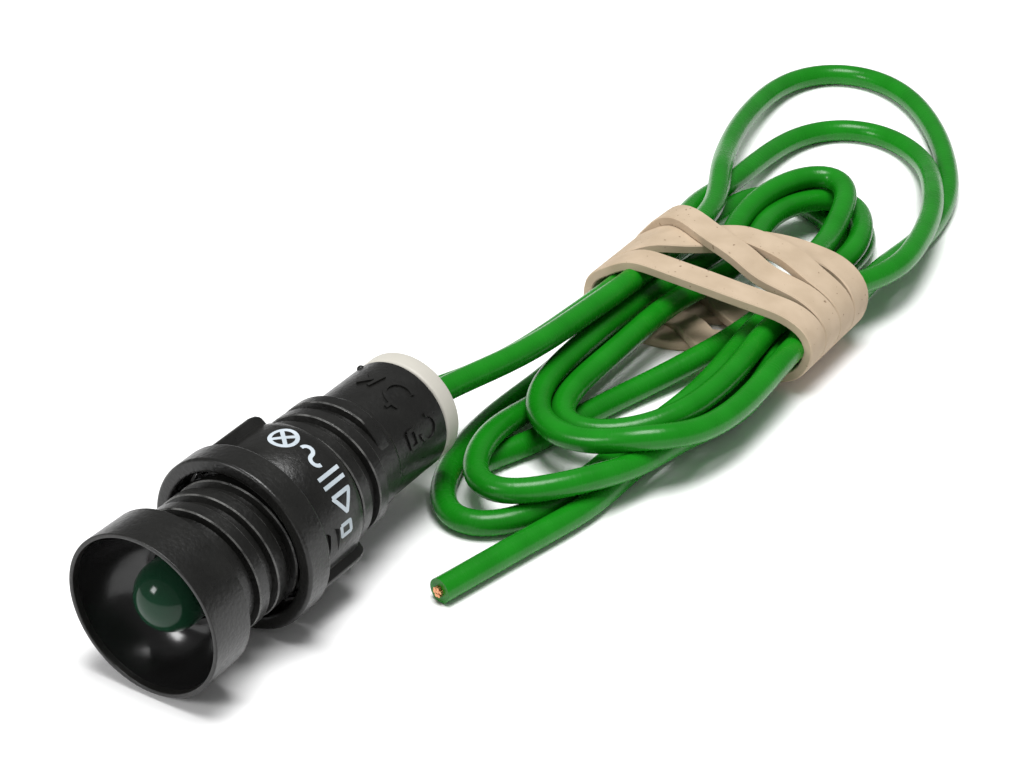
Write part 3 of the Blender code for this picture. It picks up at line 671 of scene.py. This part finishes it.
# how far back each round lies over the top, its lift there, and the round it goes on to
rounds = {
    "front": ((42.6, 41.75, 41.75, 41.85, 41.95, 42.0, 42.15, 42.3, 42.3), None, "low"),
    "low": ((45.05, 44.5, 45.8, 48.2, 50.2, 51.0, 51.0, 50.4, 49.65), None, "high"),
    "high": ((47.5, 46.95, 47.6, 48.6, 48.9, 48.6, 47.9, 47.5, 47.2), (7.0, 8.5, 14.0, 16.5), "slanting"),
    "slanting": ((49.95, 49.4, 48.2, 47.1, 46.3, 45.7, 45.3, 44.9, 44.75), (0.0, 2.5, 10.0, 13.0), "front"),
}
BOTTOM_CROSSING = (10.5, 5.5)
BOTTOM_LIFT = (4.0, 7.0, 10.0, 13.0)
FLOOR_GAP = 0.02
EASE_ROUNDS = 6
strip_line, strip_up = [], []
name = "front"
for _ in rounds:
    depths, lift, following = rounds[name]
    run = np.arange(ROUND_STEPS) * outline_run[-1] / ROUND_STEPS
    flat = np.stack([np.interp(run, outline_run, outline[:, axis]) for axis in (0, 1)], axis=1)
    ahead = np.roll(flat, -1, axis=0) - np.roll(flat, 1, axis=0)
    outward = unit(np.stack([-ahead[:, 1], ahead[:, 0]], axis=1))
    x = flat[:, 0]
    over = run < rightmost_run
    crossing = eased((BOTTOM_CROSSING[0] - x) / (BOTTOM_CROSSING[0] - BOTTOM_CROSSING[1]))
    under_depth = depths[-1] + (rounds[following][0][0] - depths[-1]) * crossing
    depth = np.where(over, np.interp(x, TOP_X, depths), under_depth)
    height = np.where(over, raised(x, *lift), 0.0) if lift else np.zeros(ROUND_STEPS)
    if name in ("front", "high"):
        height = height - np.where(over, 0.0, raised(x, *BOTTOM_LIFT))
    flat = flat + outward * height[:, None]
    strip_line.append(np.stack([flat[:, 0], depth, flat[:, 1]], axis=1))
    strip_up.append(np.stack([outward[:, 0], np.zeros(ROUND_STEPS), outward[:, 1]], axis=1))
    name = following
strip_line, strip_up = np.vstack(strip_line), np.vstack(strip_up)
for _ in range(EASE_ROUNDS):
    strip_line = (np.roll(strip_line, 1, axis=0) + 2 * strip_line + np.roll(strip_line, -1, axis=0)) / 4
    strip_up = unit(np.roll(strip_up, 1, axis=0) + 2 * strip_up + np.roll(strip_up, -1, axis=0))
strip_line[:, 2] = np.maximum(strip_line[:, 2], STRIP_THICK / 2 + FLOOR_GAP)

STRIP_CUT = 0.1
half_wide, half_thick, cut = STRIP_WIDE / 2, STRIP_THICK / 2, STRIP_CUT
strip_section = np.array([
    (half_wide - cut, -half_thick), (half_wide, cut - half_thick), (half_wide, half_thick - cut),
    (half_wide - cut, half_thick), (cut - half_wide, half_thick), (-half_wide, half_thick - cut),
    (-half_wide, cut - half_thick), (cut - half_wide, -half_thick),
])
band = sweep("wound_band", strip_line, strip_up, strip_section, cream_rubber, closed=True)
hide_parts("rubber_band")
print("band:", len(band.data.polygons), "faces")

# %% [markdown]
# ## Turned shapes
#
# The lamp's body, ring and cap are round about the axis, so each one is turned from an outline, as on
# a lathe. The outline is drawn with extruded vertices, and the Screw modifier turns it: a whole turn
# with no rise makes a round solid, and several turns with a rise make a thread. A Bevel modifier
# then softens every sharp edge, because a moulded edge is never quite sharp, and its thin highlight
# is what makes small parts look real.


# %% Outline, turn and bevel
def drawn_outline(name, outline):
    """A chain of edges through places (radius, station), in the plane straight up from the axis."""
    bpy.ops.object.select_all(action="DESELECT")
    bpy.ops.mesh.primitive_plane_add(size=MM)
    piece = bpy.context.object
    piece.name = piece.data.name = name
    bpy.ops.object.mode_set(mode="EDIT")
    bpy.ops.mesh.select_mode(type="VERT")
    bpy.ops.mesh.select_all(action="SELECT")
    bpy.ops.mesh.merge(type="CENTER")
    places = [Vector((0.0, station, radius)) * MM for radius, station in outline]
    bpy.ops.transform.translate(value=places[0])
    for place, following in zip(places, places[1:]):
        bpy.ops.mesh.extrude_region_move(TRANSFORM_OT_translate={"value": following - place})
    bpy.ops.object.mode_set(mode="OBJECT")
    return piece


def choose_vertices(piece, wanted):
    """Opens a piece in Edit Mode with just the wanted vertices selected."""
    bpy.context.view_layer.objects.active = piece
    bpy.ops.object.mode_set(mode="EDIT")
    bpy.ops.mesh.select_mode(type="VERT")
    bpy.ops.mesh.select_all(action="DESELECT")
    bpy.ops.object.mode_set(mode="OBJECT")
    for vertex in piece.data.vertices:
        vertex.select = wanted(vertex)
    bpy.ops.object.mode_set(mode="EDIT")


def apply_modifier(piece, kind, **settings):
    bpy.context.view_layer.objects.active = piece
    modifier = piece.modifiers.new(kind.lower(), kind)
    for setting, value in settings.items():
        setattr(modifier, setting, value)
    bpy.ops.object.modifier_apply(modifier=modifier.name)


MERGE_GAP = 0.002
BEVEL_ANGLE, SMOOTH_ANGLE = math.radians(35), math.radians(31)


def recalculate(piece):
    pick(piece)
    bpy.ops.object.mode_set(mode="EDIT")
    bpy.ops.mesh.select_all(action="SELECT")
    bpy.ops.mesh.remove_doubles(threshold=MERGE_GAP * MM)
    bpy.ops.mesh.normals_make_consistent(inside=False)
    bpy.ops.object.mode_set(mode="OBJECT")


def turned(name, outline, segments=128, closed=True):
    piece = drawn_outline(name, [*outline, outline[0]] if closed else outline)
    apply_modifier(piece, "SCREW", axis="Y", angle=math.tau, steps=segments, render_steps=segments)
    recalculate(piece)
    return piece


def soften(piece, width, segments=3):
    apply_modifier(
        piece, "BEVEL", width=width * MM, segments=segments, limit_method="ANGLE",
        angle_limit=BEVEL_ANGLE, use_clamp_overlap=True,
    )


def scale_about_axis(change, station=0.0):
    bpy.ops.transform.resize(value=(change, 1.0, change), center_override=(0.0, station * MM, 0.0))


def join_to(piece, extra):
    pick(piece)
    extra.select_set(True)
    bpy.ops.object.join()


def drill(piece, vertices, radius, depth, place):
    """Cuts a round hole along the axis. The place is the middle of the cut, in millimetres."""
    bpy.ops.object.select_all(action="DESELECT")
    bpy.ops.mesh.primitive_cylinder_add(
        vertices=vertices, radius=radius * MM, depth=depth * MM, location=[v * MM for v in place],
        rotation=(math.pi / 2, 0.0, 0.0),
    )
    cutter = bpy.context.object
    apply_modifier(piece, "BOOLEAN", operation="DIFFERENCE", object=cutter, solver="EXACT")
    bpy.data.objects.remove(cutter)


def seat(piece, mat, body, replaced=()):
    """Moves a piece's mesh from the bare axis to the lamp's, and hands the piece to the frame."""
    piece.data.transform(Matrix.Translation(at(0.0, 0.0, 0.0)))
    if not piece.data.materials:
        piece.data.materials.append(mat)
    pick(piece)
    bpy.ops.object.shade_smooth_by_angle(angle=SMOOTH_ANGLE)
    apply_modifier(piece, "WEIGHTED_NORMAL", keep_sharp=True, weight=50)
    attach(piece, body)
    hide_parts(*replaced)
    print(piece.name, len(piece.data.polygons), "faces")


# %% [markdown]
# ## The body
#
# The body is one black moulding: a deep round funnel in front of the light, a groove behind the bezel,
# the core of the thread, and a plain barrel. The funnel's wall is a quarter of a squeezed ellipse.
# The thread is a ridge with a wide flat crest, wound eight and a half times. Its root is buried in
# the core, and its ends are pressed down into the core, as they are where a mould parts. The narrow
# faces along the crest's edges get a paler black, a painted highlight that draws a bright line along the
# thread.

# %% Body and thread
THREAD_R, ROOT_R = 5.0, 4.5
PITCH, CREST_WIDE, FLANK_WIDE, CREST_EDGE = 1.94, 1.0, 0.14, 0.08
THREAD_FRONT, THREAD_REAR = 5.2, 21.9
CREST_STATION = 6.26
BURIED_R = 4.3
BORE_R = 3.6
BARREL_R = 4.35
BEZEL_FRONT_R, BEZEL_BACK_R, BEZEL_BACK = 6.1, 6.02, 3.6
UNDERCUT_R, UNDERCUT_FLOOR = 5.12, 3.45
CORE_REAR, BARREL_FRONT, BARREL_REAR = 22.7, 22.9, 28.7
SEAT_R, SEAT_FRONT, SEAT_REAR, DIODE_BORE_R = 3.05, 8.15, 9.35, 2.62
BODY_BEVEL = 0.11
funnel = []
FUNNEL_STEPS = 20
FUNNEL_FLOOR_R, FUNNEL_RIM_R, FUNNEL_DEPTH, FUNNEL_SQUEEZE = 2.95, 5.78, 4.3, 1.15
for step in range(FUNNEL_STEPS + 1):
    turn = math.pi / 2 * step / FUNNEL_STEPS
    funnel.append((
        FUNNEL_FLOOR_R + (FUNNEL_RIM_R - FUNNEL_FLOOR_R) * math.sin(turn) ** FUNNEL_SQUEEZE,
        FUNNEL_DEPTH * math.cos(turn) ** FUNNEL_SQUEEZE,
    ))
body_outline = funnel + [
    (BEZEL_FRONT_R, 0.0), (BEZEL_BACK_R, BEZEL_BACK), (UNDERCUT_R, BEZEL_BACK),
    (UNDERCUT_R, UNDERCUT_FLOOR), (ROOT_R, UNDERCUT_FLOOR), (ROOT_R, CORE_REAR),
    (BARREL_R, BARREL_FRONT), (BARREL_R, BARREL_REAR), (BORE_R, BARREL_REAR), (BORE_R, SEAT_REAR),
    (SEAT_R, SEAT_REAR), (SEAT_R, SEAT_FRONT), (DIODE_BORE_R, SEAT_FRONT), (DIODE_BORE_R, FUNNEL_DEPTH),
]
lamp_body = turned("lamp_body", body_outline)
soften(lamp_body, BODY_BEVEL)

THREAD_STEPS = 96
FADED_RINGS = 10
EDGE_SPREAD = 0.02
END_SINK = 0.1


def wound_ridge(name, outline, turns, start, end_scale):
    """A ridge wound round the axis from the angle start. Its ends ease in or out, to end_scale."""
    ridge = drawn_outline(name, outline)
    steps = round(turns * THREAD_STEPS)
    apply_modifier(
        ridge, "SCREW", axis="Y", angle=turns * math.tau, screw_offset=turns * PITCH * MM,
        steps=steps, render_steps=steps,
    )
    last_ring = len(ridge.data.vertices) // len(outline) - 1
    for faded in range(FADED_RINGS):
        choose_vertices(ridge, lambda v: v.index // len(outline) in (faded, last_ring - faded))
        scale_about_axis(end_scale + (1 - end_scale) * faded / FADED_RINGS)
        bpy.ops.object.mode_set(mode="OBJECT")
    ridge.data.transform(Matrix.Rotation(start, 4, "Y"))
    return ridge


turns = (THREAD_REAR - THREAD_FRONT) / PITCH
thread_start = MARKED_ANGLE + (THREAD_FRONT - CREST_STATION) / PITCH * math.tau
base_half = CREST_WIDE / 2 + FLANK_WIDE * (THREAD_R - BURIED_R) / (THREAD_R - ROOT_R)
crest_half = CREST_WIDE / 2
edge_r, edge_half, flat_half = THREAD_R - CREST_EDGE, crest_half + EDGE_SPREAD, crest_half - CREST_EDGE
ridge_outline = [
    (BURIED_R, -base_half), (edge_r, -edge_half), (THREAD_R, -flat_half),
    (THREAD_R, flat_half), (edge_r, edge_half), (BURIED_R, base_half),
]
ridge_outline = [(radius, THREAD_FRONT + station) for radius, station in ridge_outline]
end_scale = (ROOT_R - END_SINK) / THREAD_R
thread_ridge = wound_ridge("thread_ridge", ridge_outline, turns, thread_start, end_scale)
recalculate(thread_ridge)
join_to(lamp_body, thread_ridge)
for mat in (black_plastic, funnel_black, worn_black):
    lamp_body.data.materials.append(mat)
NARROW_FACE, CREST_CLEAR, FLOOR_CLEAR, RIM_CLEAR = 0.25, 0.015, 0.01, 0.05
# The narrow faces on the crest's edges take the paler black: a painted highlight along the thread.
for face in lamp_body.data.polygons:
    middle = face.center / MM
    out = math.hypot(middle.x, middle.z)
    in_funnel = middle.y < FUNNEL_DEPTH - FLOOR_CLEAR and out < FUNNEL_RIM_R - RIM_CLEAR
    narrow = face.area < (NARROW_FACE * MM) ** 2 and middle.y > THREAD_FRONT
    on_crest_edge = narrow and edge_r < out < THREAD_R - CREST_CLEAR
    face.material_index = 1 if in_funnel else 2 if on_crest_edge else 0
seat(lamp_body, black_plastic, "lamp", replaced=("body_shell",))

# %% [markdown]
# ## The ring, the nut and the cap
#
# The ring is a plain turned collar with well rounded edges, open round the thread.

# %% Pressure ring
RING_OUTLINE = ((5.48, 9.4), (6.54, 9.4), (6.54, 11.7), (5.48, 11.7))
ring = turned("collar", RING_OUTLINE)
RING_BEVEL, ROUND_SEGMENTS = 0.26, 5
soften(ring, RING_BEVEL, segments=ROUND_SEGMENTS)
seat(ring, black_plastic, "ring", replaced=("pressure_ring",))

# %% [markdown]
# The nut is not round: one side is smooth for the printing, and eleven ribs stand out on the other
# side for the fingers. It starts as one fine circle. The vertices of each rib are chosen by their
# angle and scaled outwards, in steps that round the rib's shoulders, and the outline is then extruded
# along the axis. A Boolean modifier cuts the bore, and a short wound ridge inside runs in the thread.

# %% Nut
NUT_R, RIB_COUNT, RIB_SPACING = 5.55, 11, 20
NUT_VERTICES = 352
NUT_BORE_R, NUT_BORE_LONG, NUT_BORE_STATION = 5.15, 20.0, 14.0
NUT_STATIONS = ((11.95, 0.985), (12.1, 1.0), (16.3, 1.0), (16.75, 0.985), (17.0, 0.96), (17.1, 0.935))
bpy.ops.object.select_all(action="DESELECT")
bpy.ops.mesh.primitive_circle_add(
    vertices=NUT_VERTICES, radius=NUT_R * MM, rotation=(math.pi / 2, 0.0, 0.0),
)
bpy.ops.object.transform_apply(location=True, rotation=True, scale=True)
nut = bpy.context.object
nut.name = nut.data.name = "ribbed_nut"
RIB_LEVELS = {0: 6.28, 1: 6.28, 2: 6.26, 3: 6.18, 4: 5.9, 5: 5.6}


def rib_offset(vertex):
    """How many circle steps a vertex is from the middle of the nearest rib."""
    angle = math.atan2(vertex.co.x, vertex.co.z) - MARKED_ANGLE - math.pi
    step = angle / math.tau * NUT_VERTICES
    step = (step + NUT_VERTICES / 2) % NUT_VERTICES - NUT_VERTICES / 2
    rib = max(-(RIB_COUNT // 2), min(RIB_COUNT // 2, round(step / RIB_SPACING)))
    return round(abs(step - rib * RIB_SPACING))


for offset, radius in RIB_LEVELS.items():
    choose_vertices(nut, lambda v: rib_offset(v) == offset)
    scale_about_axis(radius / NUT_R)
    bpy.ops.object.mode_set(mode="OBJECT")
bpy.ops.object.mode_set(mode="EDIT")
bpy.ops.mesh.select_all(action="SELECT")
station, scale = 0.0, 1.0
for following, next_scale in NUT_STATIONS:
    shift = (0.0, (following - station) * MM, 0.0)
    if station == 0.0:
        bpy.ops.transform.translate(value=shift)
    else:
        bpy.ops.mesh.extrude_region_move(TRANSFORM_OT_translate={"value": shift})
    scale_about_axis(next_scale / scale, following)
    station, scale = following, next_scale
bpy.ops.mesh.edge_face_add()
bpy.ops.mesh.select_all(action="DESELECT")
bpy.ops.mesh.select_non_manifold()
bpy.ops.mesh.edge_face_add()
bpy.ops.object.mode_set(mode="OBJECT")
recalculate(nut)
drill(nut, 128, NUT_BORE_R, NUT_BORE_LONG, (0.0, NUT_BORE_STATION, 0.0))
NUT_RIDGE_MIDDLE, NUT_RIDGE_FADE = 13.25, 1.1
nut_ridge_outline = [(5.3, 12.75), (4.76, 12.98), (4.76, 13.52), (5.3, 13.75)]
NUT_TURNS = 1.6
half_pitch_turns = (NUT_RIDGE_MIDDLE - PITCH / 2 - CREST_STATION) / PITCH
nut_ridge_start = MARKED_ANGLE + half_pitch_turns * math.tau
join_to(nut, wound_ridge("nut_ridge", nut_ridge_outline, NUT_TURNS, nut_ridge_start, NUT_RIDGE_FADE))
nut.data.materials.clear()
seat(nut, black_plastic, "nut", replaced=("panel_nut",))

# %% [markdown]
# The rear cap is a white plug with rounded edges. A cylinder for each wire is cut out of it with a
# Boolean modifier.

# %% Rear cap
CAP_OUTLINE = ((0.0, 26.6), (3.45, 26.6), (3.45, 28.8), (4.35, 28.8), (4.35, 30.4), (0.0, 30.4))
cap = turned("end_cap", CAP_OUTLINE, closed=False)
CAP_BEVEL, HOLE_CLEAR, HOLE_LONG, HOLE_STATION = 0.3, 0.1, 10.0, 28.5
soften(cap, CAP_BEVEL, segments=ROUND_SEGMENTS)
for reach in (WIRE_OFFSET, -WIRE_OFFSET):
    hole = (reach * math.cos(PAIR_ANGLE), HOLE_STATION, reach * math.sin(PAIR_ANGLE))
    drill(cap, 48, WIRE_R + HOLE_CLEAR, HOLE_LONG, hole)
cap.data.materials.clear()
seat(cap, white_plastic, "lamp", replaced=("rear_cap",))

# %% [markdown]
# ## The light-emitting diode
#
# The diode's epoxy body is a turned bullet shape: a half ball in front, a plain stem, and a wider foot
# that sits behind the body's collar. The epoxy is deeply tinted, so its material passes a little
# light and scatters most of it.

# %% Lens
DOME_STEPS = 20
LED_R, DOME_CENTRE = 2.5, 3.0
FOOT_R, FOOT_FRONT, FOOT_REAR = 2.9, 8.25, 9.2
dome_turns = [math.pi / 2 * step / DOME_STEPS for step in range(DOME_STEPS + 1)]
lens_outline = [(LED_R * math.sin(turn), DOME_CENTRE - LED_R * math.cos(turn)) for turn in dome_turns]
lens_outline += [(LED_R, FOOT_FRONT), (FOOT_R, FOOT_FRONT), (FOOT_R, FOOT_REAR), (0.0, FOOT_REAR)]
lens = turned("led_body", lens_outline, segments=96, closed=False)
seat(lens, green_epoxy, "lamp", replaced=("led_lens",))

# %% [markdown]
# ## Marks
#
# The nut carries white printed marks, and the barrel has a few raised ones from the mould. They are
# drawn as strokes on a flat sheet, where one axis runs round the lamp and the other along it. Each
# stroke becomes a thin ribbon, and the sheet is then wrapped round the cylinder: the distance across
# the sheet becomes an angle. The marks here are plain signs of a lamp and of alternating current.


# %% Strokes wrapped round a cylinder
def arc(centre, radius, start, end, steps=24):
    turns = [math.radians(start + (end - start) * step / steps) for step in range(steps + 1)]
    return [(centre[0] + radius * math.cos(turn), centre[1] + radius * math.sin(turn)) for turn in turns]


MARK_STEP, MARK_SINK = 0.08, -0.05


def wrapped_marks(name, strokes, width, radius, height, mat, body):
    """Strokes through places (distance round from the marked angle, station), all in millimetres."""
    verts, faces = [], []
    for stroke in strokes:
        line = np.array(stroke, float)
        run = np.r_[0.0, np.cumsum(np.linalg.norm(np.diff(line, axis=0), axis=1))]
        stops = np.linspace(0.0, run[-1], max(2, int(run[-1] / MARK_STEP)))
        line = np.stack([np.interp(stops, run, line[:, axis]) for axis in (0, 1)], axis=1)
        ahead = unit(np.gradient(line, axis=0))
        across = np.stack([-ahead[:, 1], ahead[:, 0]], axis=1) * width / 2
        first = len(verts)
        for left, right in zip(line + across, line - across):
            corners = ((left, MARK_SINK), (left, height), (right, height), (right, MARK_SINK))
            for (round_by, station), lift in corners:
                place = at(radius + lift, MARKED_ANGLE + round_by / radius, station) / MM
                verts.append(tuple(place))
        for step in range(len(line) - 1):
            corner = first + step * 4
            for side in range(4):
                other = (side + 1) % 4
                faces.append((corner + side, corner + other, corner + 4 + other, corner + 4 + side))
        end = first + (len(line) - 1) * 4
        faces += [tuple(range(first, first + 4)), tuple(range(end, end + 4))[::-1]]
    marks = mesh_piece(name, verts, faces, mat, body)
    recalculate(marks)
    print(name, len(strokes), "strokes")


PRINT_LOW, PRINT_HIGH = 14.1, 16.3
PRINT_WIDE, PRINT_HEIGHT = 0.3, 0.012
RELIEF_WIDE, RELIEF_HEIGHT = 0.26, 0.15
middle = (PRINT_LOW + PRINT_HIGH) / 2
print_strokes = [
    arc((-3.9, middle), 0.95, 0, 360),
    [(-4.55, middle - 0.65), (-3.25, middle + 0.65)], [(-4.55, middle + 0.65), (-3.25, middle - 0.65)],
    arc((-1.95, middle), 0.45, 180, 0) + arc((-1.05, middle), 0.45, 180, 360),
    [(0.15, PRINT_LOW), (0.15, PRINT_HIGH)], [(0.85, PRINT_LOW), (0.85, PRINT_HIGH)],
    [(1.7, PRINT_LOW + 0.2), (3.1, middle), (1.7, PRINT_HIGH - 0.2), (1.7, PRINT_LOW + 0.2)],
    [(3.8, 14.3), (3.8, 15.3), (4.6, 15.3), (4.6, 14.3), (3.8, 14.3)],
]
wrapped_marks(
    "printed_marks", print_strokes, PRINT_WIDE, NUT_R, PRINT_HEIGHT, print_ink, "nut",
)
relief_strokes = [
    arc((-1.0, 26.0), 1.1, 60, 300), [(-1.0, 24.3), (-1.0, 25.1)],
    arc((2.0, 26.6), 0.9, -80, 170), [(1.4, 24.4), (2.6, 24.4), (2.6, 25.2), (1.4, 25.2), (1.4, 24.4)],
    [(-4.2, 25.2), (-3.4, 26.0), (-4.2, 26.8)], [(-3.2, 25.2), (-2.9, 26.8)],
]
wrapped_marks(
    "moulded_marks", relief_strokes, RELIEF_WIDE, BARREL_R, RELIEF_HEIGHT, black_plastic,
    "lamp",
)

# %% [markdown]
# A small round pip stands on the barrel near the cap. It is a ball sunk partly into the surface.

# %% Moulding pip
PIP_ANGLE, PIP_STATION, PIP_R = math.radians(-38), 28.1, 0.3
bpy.ops.object.select_all(action="DESELECT")
bpy.ops.mesh.primitive_uv_sphere_add(segments=24, ring_count=16, radius=PIP_R * MM)
pip = bpy.context.object
pip.name = pip.data.name = "moulding_pip"
pip.data.transform(Matrix.Translation(at(BARREL_R - PIP_R / 4, PIP_ANGLE, PIP_STATION)))
pip.data.materials.append(black_plastic)
bpy.ops.object.shade_smooth()
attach(pip, "lamp")
print("pip at station", PIP_STATION)

# %% [markdown]
# ## Finishes for the hidden parts
#
# The parts inside the barrel keep their CAD shapes. Each one gets the finish of its own stuff.

# %% Finish the CAD parts
inside = {
    tinned_steel: ("led_anode_post", "led_cathode_cup", "resistor_front_lead", "resistor_rear_lead",
                   "diode_front_lead", "diode_rear_lead"),
    solder_tin: ("solder_anode", "solder_cathode", "solder_lead_a", "solder_lead_b"),
    copper: ("lead_a_core", "lead_b_core"),
    chip_face: ("led_chip",),
    potting_resin: ("led_potting",),
    resistor_coat: ("series_resistor",),
    diode_moulding: ("rectifier_diode",),
    shrink_sleeve: ("resistor_sleeve", "diode_sleeve"),
}
for mat, names in inside.items():
    for name in names:
        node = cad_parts[name]
        node.data.materials.clear()
        node.data.materials.append(mat)
print("finished", sum(len(names) for names in inside.values()), "hidden parts")
